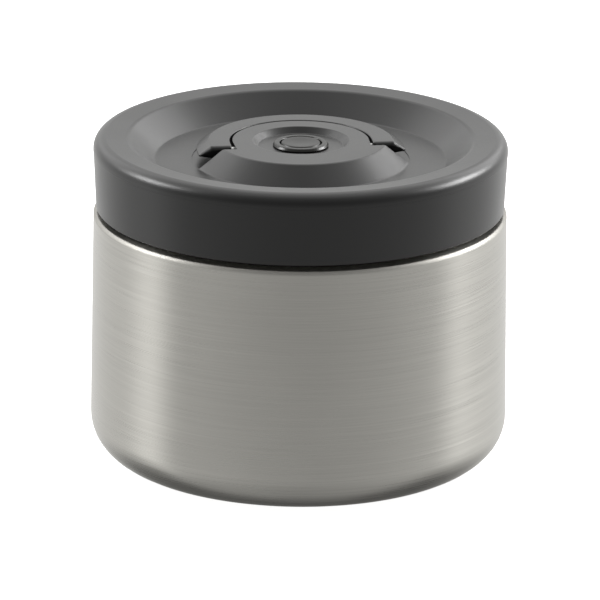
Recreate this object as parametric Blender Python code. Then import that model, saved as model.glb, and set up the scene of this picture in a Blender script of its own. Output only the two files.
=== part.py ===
"""Insulated lunch box: a double-walled steel pot with a screw lid, a folding carrying handle and a vent button.

Run it with blender --background --python part.py, or from Blender's text editor.
Lengths are in metres, +Z is up, and the origin is the centre of the standing ring on the table.
The lid is shown closed, the handle folded down and the vent button up.
"""

import math

import bmesh
import bpy
from mathutils import Vector

# General fits and mesh fineness
FIT = 0.0003              # gap between pieces that seat on each other
LARGE_STEPS = 48          # facets round the pot and the lid
SMALL_STEPS = 24          # facets round the valve's pieces
PIN_STEPS = 16            # facets round a pin and its bore
FINE_ROUND = 0.0009       # fillets under this are made as one chamfer
ARC_STEP = math.radians(24)   # turn between two points of a larger fillet

# Steel pot
STEEL = 0.0005            # sheet thickness
BODY_RADIUS = 0.0652      # side wall's line carried down to the table
BODY_TAPER = 0.0011       # how much narrower the shoulder is
SHOULDER_HEIGHT = 0.0783
SHOULDER_ROUND = 0.0015
BASE_CORNER = 0.0129      # outer radius of the rounded base corner
RING_RADIUS = 0.0440      # inner edge of the ring that the pot stands on
BASE_RECESS = 0.0019      # height of the recessed base above the table
BASE_FLANGE = 0.0050      # ledge inside the standing ring that carries the base plate
NECK_HEIGHT = 0.0124      # neck above the shoulder
CAVITY_LIFT = 0.0080      # underside of the inner pot above the table
INNER_CORNER = 0.0140     # rounded corner inside the inner pot
LIP_WIDTH = 0.0011        # how far the inner pot's folded lip reaches over the neck
DIMPLE_RADIUS = 0.0050    # raised centre of the base plate
DIMPLE_RISE = 0.0010
VENT_HOLE = 0.0014        # evacuation hole in the base plate
BEAD_RADIUS = 0.0036
BEAD_DEPTH = 0.0007
GETTER_RADIUS = 0.0060
GETTER_HEIGHT = 0.0018
GETTER_OFFSET = 0.0220    # distance from the pot's axis
FOIL = 0.0002             # radiation foil wrapped round the inner pot
FOIL_MARGIN = 0.0080      # bare wall above and below the foil

# Lid
LID_WALL = 0.0022         # moulded wall of the outer lid
LINER_WALL = 0.0018       # moulded wall of the inner lid
LID_GAP = 0.0016          # dark gap between the shoulder and the lid's lower edge
LID_SETBACK = 0.00085     # lid's lower edge inside the shoulder
LID_DRAFT = 0.00105       # lid's outward taper from its lower edge to its rim
RIM_ROUND = 0.0039        # round of the rim's outer edge
RIM_WIDTH = 0.0068        # gently sloped top of the rim
RIM_DIP = 0.0005          # fall of that slope
RIM_INNER_ROUND = 0.0020
DISH_RUN = 0.0084         # run of the dish's sloping wall
DISH_DEPTH = 0.0074       # dish floor below the rim's crest
DISH_ROUND = 0.0010
THREAD_GAP = 0.0017       # room for the thread between the neck and the lid's skirt
SKIRT_RISE = 0.0006       # liner's skirt ends above the lid's lower edge
PLUG_GAP = 0.0012         # plug's clearance inside the mouth
PLUG_DEPTH = 0.0077       # how far the plug reaches down from its flange
PLUG_ROUND = 0.0022
FOAM_THICKNESS = 0.0039
GASKET_THICKNESS = 0.0018
GASKET_WIDTH = 0.0036
GASKET_BEAD = 0.0004      # round bead edge of the gasket

# Hub in the middle of the lid
HUB_BASE_RADIUS = 0.0334
HUB_TOP_RADIUS = 0.0264
HUB_RISE = 0.0060         # hub's top above the dish floor
HUB_ROUND = 0.0012
CORE_RADIUS = 0.0214      # core that the handle lies against, round behind and straight at its sides
CORE_LEAN = 0.0003        # how much narrower the core is at its front
CORE_POCKET = 0.0170      # radius cored out under the hub
CUP_RADIUS = 0.0150       # shallow cup round the button
CUP_RUN = 0.0018
CUP_DEPTH = 0.0018
CUP_ROUND = 0.0005
WELL_DEPTH = 0.0002       # well in the dish floor under the handle
WELL_MARGIN = 0.0003      # well's edge outside the hub's base

# Carrying handle
HANDLE_GAP = 0.0006       # slit between core and handle
HANDLE_TOP = 0.0064       # width of its flat top
HANDLE_FLANK = 0.0038     # run of its sloping outer flank
HANDLE_LIP = 0.0005       # blunt lower edge of the flank
HANDLE_FALL = 0.0027      # fall of the flank
HANDLE_THICKNESS = 0.0042 # at its inner edge, where the pins are
HANDLE_FLAT = 0.0040      # thick part of its underside
LEG_LENGTH = 0.0050       # straight legs beyond the half circle
LEG_GAP = 0.0030          # between the legs' ends and the front of the hub
PIVOT_TO_TIP = 0.0031     # from the pins to the legs' ends
PIN_RADIUS = 0.0010
PIN_CLEARANCE = 0.0002
PIN_IN_CORE = 0.0036
PIN_IN_HANDLE = 0.0040
HANDLE_STEPS = 32         # facets along the half circle

# Vent valve
BUTTON_RADIUS = 0.0061
BUTTON_RISE = 0.0013      # its top above the cup's floor
BUTTON_HEIGHT = 0.0037
BUTTON_ROUND = 0.0005
BUTTON_SLIDE = 0.0004     # running gap round the button
BEZEL_WALL = 0.0008
BEZEL_FLANGE = 0.0014     # how far the bezel's flange covers the cup's floor
BEZEL_RISE = 0.0012
BEZEL_ROUND = 0.0004
TUBE_WALL = 0.0016        # tube of the lid round the spring
STEM_RADIUS = 0.0013
STEM_CLEARANCE = 0.0003
STEM_SOCKET = 0.0024      # how deep the stem sits in the button
STEM_HEAD_RADIUS = 0.0030
STEM_HEAD = 0.0008
GUIDE_GAP = 0.0007        # air gap round the stem, through which the pot breathes
GUIDE_WALL = 0.0020
GUIDE_HEIGHT = 0.0025
SEAL_RADIUS = 0.0060
SEAL_THICKNESS = 0.0013
SPRING_RADIUS = 0.0052    # to the middle of the wire
SPRING_WIRE = 0.00035     # wire's radius
SPRING_TURNS = 6
SPRING_POINTS = 9         # points along each turn

# Radii worked out from outside to inside
shoulder_radius = BODY_RADIUS - BODY_TAPER
lid_foot_radius = shoulder_radius - LID_SETBACK
lid_top_radius = lid_foot_radius + LID_DRAFT
skirt_outer = lid_foot_radius - LID_WALL - FIT
skirt_inner = skirt_outer - LINER_WALL
neck_outer = skirt_inner - THREAD_GAP
neck_inner = neck_outer - STEEL
pot_outer = neck_inner - FIT
pot_inner = pot_outer - STEEL
plug_outer = pot_inner - PLUG_GAP
plug_inner = plug_outer - LINER_WALL
crest_radius = lid_top_radius - RIM_ROUND
rim_inner_radius = crest_radius - RIM_WIDTH
dish_radius = rim_inner_radius - DISH_RUN
bezel_inner = BUTTON_RADIUS + BUTTON_SLIDE
bezel_outer = bezel_inner + BEZEL_WALL
tube_inner = bezel_outer + FIT
tube_outer = tube_inner + TUBE_WALL
socket_radius = STEM_RADIUS + STEM_CLEARANCE
guide_inner = STEM_RADIUS + GUIDE_GAP
handle_inner = CORE_RADIUS + HANDLE_GAP
handle_edge = handle_inner + HANDLE_TOP
handle_outer = handle_edge + HANDLE_FLANK

# Heights worked out from the table upwards
neck_top = SHOULDER_HEIGHT + NECK_HEIGHT
lip_top = neck_top + FIT + STEEL
gasket_foot = lip_top + FIT
flange_foot = gasket_foot + GASKET_THICKNESS + FIT
plug_foot = flange_foot - PLUG_DEPTH
plate_top = plug_foot + LINER_WALL
foam_foot = plate_top + FIT
floor_underside = foam_foot + FOAM_THICKNESS + FIT
dish_floor = floor_underside + LID_WALL
rim_crest = dish_floor + DISH_DEPTH
rim_inner_height = rim_crest - RIM_DIP
lid_foot = SHOULDER_HEIGHT + LID_GAP
hub_top = dish_floor + HUB_RISE
cup_floor = hub_top - CUP_DEPTH
cup_underside = cup_floor - LID_WALL
pivot_height = hub_top - HANDLE_THICKNESS / 2
pivot_y = PIVOT_TO_TIP - LEG_LENGTH
button_top = cup_floor + BUTTON_RISE
button_foot = button_top - BUTTON_HEIGHT
seal_top = plug_foot - FIT
seal_foot = seal_top - SEAL_THICKNESS
head_top = seal_foot - FIT


def clear_scene():
    """Removes what the file holds, so that the script can be run again."""
    for old in list(bpy.data.objects):
        bpy.data.objects.remove(old)


def finish_of(name, colour, roughness, metallic=0.0):
    """A material with one Principled BSDF."""
    material = bpy.data.materials.new(name)
    material.use_nodes = True
    shader = material.node_tree.nodes["Principled BSDF"]
    shader.inputs["Base Color"].default_value = (*colour, 1.0)
    shader.inputs["Roughness"].default_value = roughness
    shader.inputs["Metallic"].default_value = metallic
    return material


def rounded(corners):
    """Points along a line of (radius, height, fillet) corners, each corner turned with its own fillet."""
    points = []
    for i, (r, z, fillet) in enumerate(corners):
        corner = Vector((r, z))
        if fillet == 0 or i in (0, len(corners) - 1):
            points.append(corner)
            continue
        back = (Vector(corners[i - 1][:2]) - corner).normalized()
        ahead = (Vector(corners[i + 1][:2]) - corner).normalized()
        opening = back.angle(ahead)
        reach = fillet / math.tan(opening / 2)
        centre = corner + (back + ahead).normalized() * (fillet / math.sin(opening / 2))
        start = corner + back * reach - centre
        turn = math.pi - opening
        if start.y * back.x - start.x * back.y < 0:
            turn = -turn
        steps = 1 if fillet < FINE_ROUND else max(1, math.ceil(abs(turn) / ARC_STEP - 0.1))
        for k in range(steps + 1):
            angle = turn * k / steps
            along = Vector((start.x * math.cos(angle) - start.y * math.sin(angle),
                            start.x * math.sin(angle) + start.y * math.cos(angle)))
            points.append(centre + along)
    return points


def sheet(path, thickness):
    """The closed outline of a sheet whose one face follows the path and whose other lies to its left."""
    left = []
    for i, point in enumerate(path):
        before = (point - path[i - 1]).normalized() if i else None
        after = (path[i + 1] - point).normalized() if i + 1 < len(path) else None
        before = before or after
        after = after or before
        normal = Vector((-before.y - after.y, before.x + after.x)).normalized()
        stretch = normal.dot(Vector((-before.y, before.x)))
        left.append(point + normal * (thickness / stretch))
    return list(path) + left[::-1]


def new_object(name, mesh_builder, material):
    """Turns a bmesh into a named object with smooth faces and crisp edges."""
    bmesh.ops.remove_doubles(mesh_builder, verts=mesh_builder.verts, dist=1e-6)
    bmesh.ops.recalc_face_normals(mesh_builder, faces=mesh_builder.faces)
    mesh = bpy.data.meshes.new(name)
    mesh_builder.to_mesh(mesh)
    mesh_builder.free()
    mesh.shade_smooth()
    mesh.set_sharp_from_angle(angle=math.radians(35))
    made = bpy.data.objects.new(name, mesh)
    bpy.context.scene.collection.objects.link(made)
    if material:
        made.data.materials.append(material)
    return made


def turned(name, outline, material, steps=LARGE_STEPS):
    """A solid of revolution about +Z from the closed outline of (radius, height) points."""
    bm = bmesh.new()
    verts = [bm.verts.new((max(p[0], 0.0), 0.0, p[1])) for p in outline]
    edges = []
    for a, b in zip(verts, verts[1:] + verts[:1]):
        if a.co.x > 0 or b.co.x > 0:
            edges.append(bm.edges.new((a, b)))
    bmesh.ops.spin(bm, geom=verts + edges, cent=(0, 0, 0), axis=(0, 0, 1), angle=math.tau,
                   steps=steps, use_merge=True, use_duplicate=False)
    return new_object(name, bm, material)


def rod(name, radius, start, end, material, steps=PIN_STEPS):
    """A round rod along +X between two places, given as (x, y, z)."""
    start, end = Vector(start), Vector(end)
    bm = bmesh.new()
    bmesh.ops.create_cone(bm, cap_ends=True, segments=steps, radius1=radius, radius2=radius,
                          depth=(end - start).length)
    turn = (end - start).to_track_quat("Z", "Y").to_matrix()
    bmesh.ops.rotate(bm, verts=bm.verts, cent=(0, 0, 0), matrix=turn)
    bmesh.ops.translate(bm, verts=bm.verts, vec=(start + end) / 2)
    return new_object(name, bm, material)


def cut(target, cutter):
    """Takes the cutter's shape out of the target."""
    modifier = target.modifiers.new("cut_" + cutter.name, "BOOLEAN")
    modifier.operation = "DIFFERENCE"
    modifier.solver = "EXACT"
    modifier.object = cutter
    cutter.hide_render = True
    cutter.display_type = "WIRE"


def carrier(name, place, parent=None):
    """An empty that carries the pieces of one moving body, on that body's axis."""
    empty = bpy.data.objects.new(name, None)
    bpy.context.scene.collection.objects.link(empty)
    empty.parent = parent
    empty.location = Vector(place) - (parent.matrix_world.translation if parent else Vector())
    bpy.context.view_layer.update()
    return empty


def carry(empty, *pieces):
    """Parents the pieces to the empty and leaves them where they are."""
    for piece in pieces:
        piece.parent = empty
        piece.matrix_parent_inverse = empty.matrix_world.inverted()


def make_outer_shell(steel):
    """Drawn outer wall: standing ring, rounded base corner, tapered side, shoulder and neck."""
    step = BASE_RECESS / 2
    path = rounded([
        (RING_RADIUS - step - BASE_FLANGE, BASE_RECESS, 0),
        (RING_RADIUS - step, BASE_RECESS, 0.0008),
        (RING_RADIUS, 0.0, 0.0008),
        (BODY_RADIUS, 0.0, BASE_CORNER),
        (shoulder_radius, SHOULDER_HEIGHT, SHOULDER_ROUND),
        (neck_outer, SHOULDER_HEIGHT, 0.0008),
        (neck_outer, neck_top, 0),
    ])
    return turned("outer_shell", sheet(path, STEEL), steel)


def make_inner_pot(steel):
    """Drawn inner vessel with a rounded floor corner and a lip folded over the neck."""
    path = rounded([
        (0.0, CAVITY_LIFT, 0),
        (pot_outer, CAVITY_LIFT, INNER_CORNER + STEEL),
        (pot_outer, lip_top - STEEL, FIT),
        (pot_outer + LIP_WIDTH, lip_top - STEEL, 0),
    ])
    return turned("inner_pot", sheet(path, STEEL), steel)


def make_base_plate(steel):
    """Disc that closes the outer shell, with a raised centre round the evacuation hole."""
    foot = BASE_RECESS + STEEL + FIT
    radius = RING_RADIUS - BASE_RECESS / 2 - BASE_FLANGE / 2
    path = rounded([
        (VENT_HOLE, foot + DIMPLE_RISE, 0),
        (DIMPLE_RADIUS, foot + DIMPLE_RISE, 0),
        (DIMPLE_RADIUS + DIMPLE_RISE, foot, 0),
        (radius, foot, 0),
    ])
    return turned("base_plate", sheet(path, STEEL), steel)


def make_vacuum_bead(glass):
    """Glass bead melted under the evacuation hole, with a nib up into it."""
    underside = BASE_RECESS + STEEL + FIT + DIMPLE_RISE
    nib = VENT_HOLE - FIT
    outline = rounded([
        (0.0, underside - FIT - BEAD_DEPTH, 0),
        (BEAD_RADIUS, underside - FIT - BEAD_DEPTH, BEAD_DEPTH * 0.8),
        (BEAD_RADIUS, underside - FIT, 0),
        (nib, underside - FIT, 0),
        (nib, underside + STEEL, 0),
        (0.0, underside + STEEL, 0),
    ])
    return turned("vacuum_bead", outline, glass, SMALL_STEPS)


def make_getter(metal):
    """Pellet that keeps the vacuum clean, spot welded inside the base plate."""
    foot = BASE_RECESS + STEEL + FIT + STEEL + FIT
    outline = rounded([
        (0.0, foot, 0),
        (GETTER_RADIUS, foot, 0),
        (GETTER_RADIUS, foot + GETTER_HEIGHT, 0.0004),
        (0.0, foot + GETTER_HEIGHT, 0),
    ])
    getter = turned("getter", outline, metal, SMALL_STEPS)
    getter.location.x = GETTER_OFFSET
    return getter


def make_foil(aluminium):
    """Bright foil wrapped round the inner pot in the vacuum gap, which keeps heat from radiating."""
    inner = pot_outer + FIT
    foot = CAVITY_LIFT + INNER_CORNER + FOIL_MARGIN / 2
    top = SHOULDER_HEIGHT - FOIL_MARGIN
    path = [Vector((inner, foot)), Vector((inner, top))]
    return turned("radiation_foil", sheet(path, -FOIL), aluminium)


def make_gasket(silicone):
    """Flat silicone ring that the lid presses on the pot's lip."""
    inner = plug_outer + FIT
    outline = rounded([
        (inner, gasket_foot + GASKET_THICKNESS / 2, 0),
        (inner, gasket_foot, GASKET_BEAD),
        (inner + GASKET_WIDTH, gasket_foot, GASKET_BEAD),
        (inner + GASKET_WIDTH, gasket_foot + GASKET_THICKNESS, GASKET_BEAD),
        (inner, gasket_foot + GASKET_THICKNESS, GASKET_BEAD),
        (inner, gasket_foot + GASKET_THICKNESS / 2, 0),
    ])[:-1]
    return turned("lid_gasket", outline, silicone)


def make_well_cutter():
    """The room round the core and behind the hub's front, where the handle lies and swings."""
    cut_y = LEG_LENGTH + LEG_GAP
    well_radius = HUB_BASE_RADIUS + WELL_MARGIN
    foot = dish_floor - WELL_DEPTH
    height = HUB_RISE + WELL_DEPTH + 0.002
    start = -math.asin(cut_y / well_radius)
    sweep = math.pi - 2 * start
    steps = math.ceil(LARGE_STEPS * sweep / math.tau)
    outline = []
    for k in range(steps + 1):
        angle = start + sweep * k / steps
        outline.append((well_radius * math.cos(angle), well_radius * math.sin(angle), foot))
    outline.append((CORE_LEAN - CORE_RADIUS, -cut_y, foot))
    for k in range(HANDLE_STEPS + 1):
        angle = math.pi * (1 - k / HANDLE_STEPS)
        outline.append((CORE_RADIUS * math.cos(angle), CORE_RADIUS * math.sin(angle), foot))
    outline.append((CORE_RADIUS - CORE_LEAN, -cut_y, foot))
    bm = bmesh.new()
    face = bm.faces.new([bm.verts.new(p) for p in outline])
    raised = bmesh.ops.extrude_face_region(bm, geom=[face])["geom"]
    bmesh.ops.translate(bm, vec=(0, 0, height),
                        verts=[g for g in raised if isinstance(g, bmesh.types.BMVert)])
    return new_object("handle_well", bm, None)


def make_lid_shell(plastic):
    """Moulded outer lid: side wall, crowned rim, dish, hub with its core, and the spring's tube."""
    slope = math.atan2(rim_inner_height - dish_floor, DISH_RUN)
    lean = LID_WALL * math.tan(slope / 2)
    outline = rounded([
        (lid_foot_radius - LID_WALL, lid_foot, 0),
        (lid_foot_radius, lid_foot, 0.0004),
        (lid_top_radius, rim_crest, RIM_ROUND),
        (crest_radius, rim_crest, 0),
        (rim_inner_radius, rim_inner_height, RIM_INNER_ROUND),
        (dish_radius, dish_floor, DISH_ROUND),
        (HUB_BASE_RADIUS, dish_floor, 0.0006),
        (HUB_TOP_RADIUS, hub_top, HUB_ROUND),
        (CUP_RADIUS, hub_top, CUP_ROUND),
        (CUP_RADIUS - CUP_RUN, cup_floor, CUP_ROUND),
        (tube_inner, cup_floor, 0),
        (tube_inner, foam_foot, 0),
        (tube_outer, foam_foot, 0),
        (tube_outer, cup_underside, 0.0006),
        (CORE_POCKET, cup_underside, 0.0006),
        (CORE_POCKET, floor_underside, 0),
        (dish_radius + lean, floor_underside, 0),
        (rim_inner_radius + lean, rim_inner_height - LID_WALL, 0.0008),
        (lid_top_radius - LID_WALL, rim_crest - LID_WALL, 0.0008),
        (lid_foot_radius - LID_WALL, lid_foot, 0),
    ])[:-1]
    shell = turned("lid_shell", outline, plastic)
    cut(shell, make_well_cutter())
    for side, name in ((-1, "left"), (1, "right")):
        start = side * (CORE_RADIUS - PIN_IN_CORE - FIT)
        end = side * (CORE_RADIUS + 0.002)
        cut(shell, rod("core_bore_" + name, PIN_RADIUS + PIN_CLEARANCE,
                       (start, pivot_y, pivot_height), (end, pivot_y, pivot_height), None))
    return shell


def make_lid_liner(plastic):
    """Moulded inner lid: skirt for the thread, flange over the gasket, plug and the stem's guide."""
    flange_top = flange_foot + LINER_WALL
    outline = rounded([
        (guide_inner, plug_foot, 0),
        (plug_outer, plug_foot, PLUG_ROUND),
        (plug_outer, flange_foot, 0),
        (skirt_inner, flange_foot, 0),
        (skirt_inner, lid_foot + SKIRT_RISE, 0),
        (skirt_outer, lid_foot + SKIRT_RISE, 0),
        (skirt_outer, flange_top, 0.0008),
        (plug_inner, flange_top, 0.0006),
        (plug_inner, plate_top, 0.0008),
        (guide_inner + GUIDE_WALL, plate_top, 0),
        (guide_inner + GUIDE_WALL, plate_top + GUIDE_HEIGHT, 0),
        (guide_inner, plate_top + GUIDE_HEIGHT, 0),
    ])
    return turned("lid_liner", outline, plastic)


def make_lid_foam(foam):
    """Insulating disc between the two lid mouldings, with a hole for the spring's tube."""
    outline = rounded([
        (tube_outer + FIT, foam_foot, 0),
        (plug_inner - FIT, foam_foot, 0.0008),
        (plug_inner - FIT, floor_underside - FIT, 0),
        (tube_outer + FIT, floor_underside - FIT, 0),
    ])
    return turned("lid_foam", outline, foam)


def make_handle(plastic):
    """Folding bail: half a ring with two straight legs, flat on top, with a sloping outer flank."""
    foot = hub_top - HANDLE_THICKNESS
    lip = hub_top - HANDLE_FALL
    section = rounded([
        (handle_inner, foot, 0),
        (handle_inner + HANDLE_FLAT, foot, 0.0005),
        (handle_outer, lip - HANDLE_LIP, 0),
        (handle_outer, lip, 0.0003),
        (handle_edge, hub_top, 0.0005),
        (handle_inner, hub_top, 0),
    ])
    stations = [(0.0, -LEG_LENGTH)]
    stations += [(math.pi * k / HANDLE_STEPS, 0.0) for k in range(HANDLE_STEPS + 1)]
    stations += [(math.pi, -LEG_LENGTH)]
    bm = bmesh.new()
    rings = []
    for angle, shift in stations:
        rings.append([bm.verts.new((r * math.cos(angle), r * math.sin(angle) + shift, z))
                      for r, z in section])
    for near, far in zip(rings, rings[1:]):
        for a in range(len(section)):
            b = (a + 1) % len(section)
            bm.faces.new((near[a], near[b], far[b], far[a]))
    bm.faces.new(rings[0][::-1])
    bm.faces.new(rings[-1])
    handle = new_object("carry_handle", bm, plastic)
    for side, name in ((-1, "left"), (1, "right")):
        start = side * (handle_inner - 0.001)
        end = side * (CORE_RADIUS + PIN_IN_HANDLE + FIT)
        cut(handle, rod("handle_bore_" + name, PIN_RADIUS + PIN_CLEARANCE,
                        (start, pivot_y, pivot_height), (end, pivot_y, pivot_height), None))
    return handle


def make_pin(side, name, steel):
    """Steel pin from the core into one leg of the handle."""
    start = side * (CORE_RADIUS - PIN_IN_CORE)
    end = side * (CORE_RADIUS + PIN_IN_HANDLE)
    return rod(name, PIN_RADIUS, (start, pivot_y, pivot_height), (end, pivot_y, pivot_height), steel)


def make_bezel(silicone):
    """Ring in the middle of the cup that guides the button."""
    top = cup_floor + BEZEL_RISE
    outline = rounded([
        (bezel_inner, cup_underside, 0),
        (bezel_outer, cup_underside, 0),
        (bezel_outer, cup_floor + FIT, 0),
        (bezel_outer + BEZEL_FLANGE, cup_floor + FIT, 0.0001),
        (bezel_outer + BEZEL_FLANGE, top, BEZEL_ROUND),
        (bezel_inner, top, BEZEL_ROUND),
        (bezel_inner, cup_underside, 0),
    ])[:-1]
    return turned("vent_bezel", outline, silicone, LARGE_STEPS // 2)


def make_button(silicone):
    """Push button with a slightly hollow top and a socket for the stem."""
    outline = rounded([
        (socket_radius, button_foot, 0),
        (BUTTON_RADIUS, button_foot, 0.0003),
        (BUTTON_RADIUS, button_top, BUTTON_ROUND),
        (BUTTON_RADIUS * 0.7, button_top - 0.0001, 0),
        (0.0, button_top - 0.0002, 0),
        (0.0, button_foot + STEM_SOCKET + FIT, 0),
        (socket_radius, button_foot + STEM_SOCKET + FIT, 0),
    ])
    return turned("vent_button", outline, silicone, LARGE_STEPS // 2)


def make_stem(plastic):
    """Stem from the button down through the liner, with a head that holds the seal."""
    outline = rounded([
        (0.0, head_top - STEM_HEAD, 0),
        (STEM_HEAD_RADIUS, head_top - STEM_HEAD, 0.0004),
        (STEM_HEAD_RADIUS, head_top, 0),
        (STEM_RADIUS, head_top, 0),
        (STEM_RADIUS, button_foot + STEM_SOCKET, 0.0003),
        (0.0, button_foot + STEM_SOCKET, 0),
    ])
    return turned("valve_stem", outline, plastic, SMALL_STEPS)


def make_valve_seal(silicone):
    """Silicone disc on the stem that closes the vent from below."""
    outline = rounded([
        (socket_radius, seal_foot, 0),
        (SEAL_RADIUS * 0.6, seal_foot, 0),
        (SEAL_RADIUS, seal_top - SEAL_THICKNESS * 0.4, 0.0003),
        (SEAL_RADIUS, seal_top, 0),
        (socket_radius, seal_top, 0),
    ])
    return turned("valve_seal", outline, silicone, SMALL_STEPS)


def make_spring(steel):
    """Return spring round the stem's guide, from the liner up to the button. Prints its least gap."""
    foot = plate_top + FIT + SPRING_WIRE
    rise = button_foot - FIT - SPRING_WIRE - foot
    count = SPRING_TURNS * SPRING_POINTS
    curve = bpy.data.curves.new("valve_spring", "CURVE")
    curve.dimensions = "3D"
    curve.bevel_depth = SPRING_WIRE
    curve.bevel_resolution = 1
    curve.use_fill_caps = True
    spline = curve.splines.new("POLY")
    spline.points.add(count)
    places = []
    for k in range(count + 1):
        angle = math.tau * k / SPRING_POINTS
        places.append(Vector((SPRING_RADIUS * math.cos(angle), SPRING_RADIUS * math.sin(angle),
                              foot + rise * k / count)))
    for point, place in zip(spline.points, places):
        point.co = (*place, 1.0)
    spring = bpy.data.objects.new("valve_spring", curve)
    bpy.context.scene.collection.objects.link(spring)
    curve.materials.append(steel)
    apart = min((a - b).length for i, a in enumerate(places) for b in places[i + SPRING_POINTS // 2:])
    print(f"valve_spring: least gap to itself {1000 * (apart - 2 * SPRING_WIRE):.2f} mm")
    return spring


def main():
    clear_scene()
    steel = finish_of("brushed_steel", (0.56, 0.55, 0.53), 0.32, 1.0)
    bright = finish_of("pin_steel", (0.62, 0.62, 0.62), 0.25, 1.0)
    lid_grey = finish_of("lid_plastic", (0.085, 0.085, 0.086), 0.42)
    liner_grey = finish_of("liner_plastic", (0.16, 0.16, 0.16), 0.45)
    button_grey = finish_of("button_silicone", (0.13, 0.13, 0.125), 0.5)
    clear_silicone = finish_of("gasket_silicone", (0.62, 0.62, 0.60), 0.55)
    white_foam = finish_of("insulating_foam", (0.85, 0.85, 0.82), 0.9)
    glass = finish_of("bead_glass", (0.25, 0.22, 0.18), 0.2)
    foil = finish_of("aluminium_foil", (0.85, 0.85, 0.86), 0.2, 1.0)

    pot = carrier("pot", (0, 0, 0))
    carry(pot, make_outer_shell(steel), make_inner_pot(steel), make_base_plate(steel),
          make_vacuum_bead(glass), make_getter(bright), make_foil(foil))
    seal = carrier("seal", (0, 0, gasket_foot), pot)
    carry(seal, make_gasket(clear_silicone))
    lid = carrier("lid", (0, 0, lid_foot), seal)
    carry(lid, make_lid_shell(lid_grey), make_lid_liner(liner_grey), make_lid_foam(white_foam),
          make_bezel(button_grey), make_pin(-1, "handle_pin_left", bright),
          make_pin(1, "handle_pin_right", bright))
    handle = carrier("handle", (0, pivot_y, pivot_height), lid)
    carry(handle, make_handle(lid_grey))
    valve = carrier("valve", (0, 0, button_foot), lid)
    carry(valve, make_button(button_grey), make_stem(liner_grey), make_valve_seal(clear_silicone))
    carry(lid, make_spring(bright))


main()
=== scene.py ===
"""Dresses the packed insulated lunch box: brushed steel pot, satin grey lid, handle and vent."""

import math

import bmesh
import bpy
from mathutils import Matrix, Vector


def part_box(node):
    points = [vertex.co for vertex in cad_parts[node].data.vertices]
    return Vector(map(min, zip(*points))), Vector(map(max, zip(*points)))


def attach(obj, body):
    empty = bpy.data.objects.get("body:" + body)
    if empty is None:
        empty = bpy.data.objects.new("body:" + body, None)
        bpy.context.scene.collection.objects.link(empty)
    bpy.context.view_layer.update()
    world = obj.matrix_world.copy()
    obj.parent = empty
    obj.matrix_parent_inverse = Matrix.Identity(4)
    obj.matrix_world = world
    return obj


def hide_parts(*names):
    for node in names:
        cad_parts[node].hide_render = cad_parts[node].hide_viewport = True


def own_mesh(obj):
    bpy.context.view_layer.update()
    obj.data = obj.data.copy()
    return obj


bl_info = {
    "name": "Insulated Lunch Box",
    "version": (1, 0, 0),
    "blender": (4, 5, 0),
    "location": "3D Viewport > Sidebar > Lunch Box",
    "description": "Builds the visible pieces, finishes and studio of an insulated lunch box",
    "category": "Add Mesh",
}

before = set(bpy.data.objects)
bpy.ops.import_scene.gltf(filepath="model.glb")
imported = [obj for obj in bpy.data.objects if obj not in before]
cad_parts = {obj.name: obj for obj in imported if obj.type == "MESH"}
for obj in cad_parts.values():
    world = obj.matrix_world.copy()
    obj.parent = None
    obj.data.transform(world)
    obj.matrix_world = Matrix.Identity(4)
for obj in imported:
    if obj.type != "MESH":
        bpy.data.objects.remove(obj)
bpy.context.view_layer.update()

# Places read from the packed model
SHELL_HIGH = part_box("outer_shell")[1]
POT_LOW, POT_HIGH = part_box("inner_pot")
LID_LOW, LID_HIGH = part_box("lid_shell")
LINER_LOW, LINER_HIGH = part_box("lid_liner")
FOAM_LOW, FOAM_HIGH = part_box("lid_foam")
GASKET_LOW, GASKET_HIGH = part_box("lid_gasket")
HANDLE_LOW, HANDLE_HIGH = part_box("carry_handle")
PIN_LOW, PIN_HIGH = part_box("handle_pin_right")
BEZEL_LOW, BEZEL_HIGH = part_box("vent_bezel")
BUTTON_LOW, BUTTON_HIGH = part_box("vent_button")
STEM_LOW, STEM_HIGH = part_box("valve_stem")
SEAL_LOW, SEAL_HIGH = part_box("valve_seal")
SPRING_LOW, SPRING_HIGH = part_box("valve_spring")
PLATE_LOW, PLATE_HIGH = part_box("base_plate")
BEAD_LOW, BEAD_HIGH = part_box("vacuum_bead")

# Mesh fineness
ROUND_STEPS = 256             # facets round the pot and the lid
VENT_STEPS = 192              # facets round the vent's ring and button
SMALL_STEPS = 96              # facets round the smaller pieces
ROD_STEPS = 48                # facets round a pin
ARC_STEP = math.radians(9)    # turn between two points of a fillet
SHARP = math.radians(38)      # a steeper fold is shaded as an edge
TURN = math.tau

# Lengths that many pieces share
FIT = 0.0003                  # gap between pieces that seat on each other
CRISP = 0.0001                # rounds of small edges, from the finest up
FINE = 0.0002
SOFT = 0.0003


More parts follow.
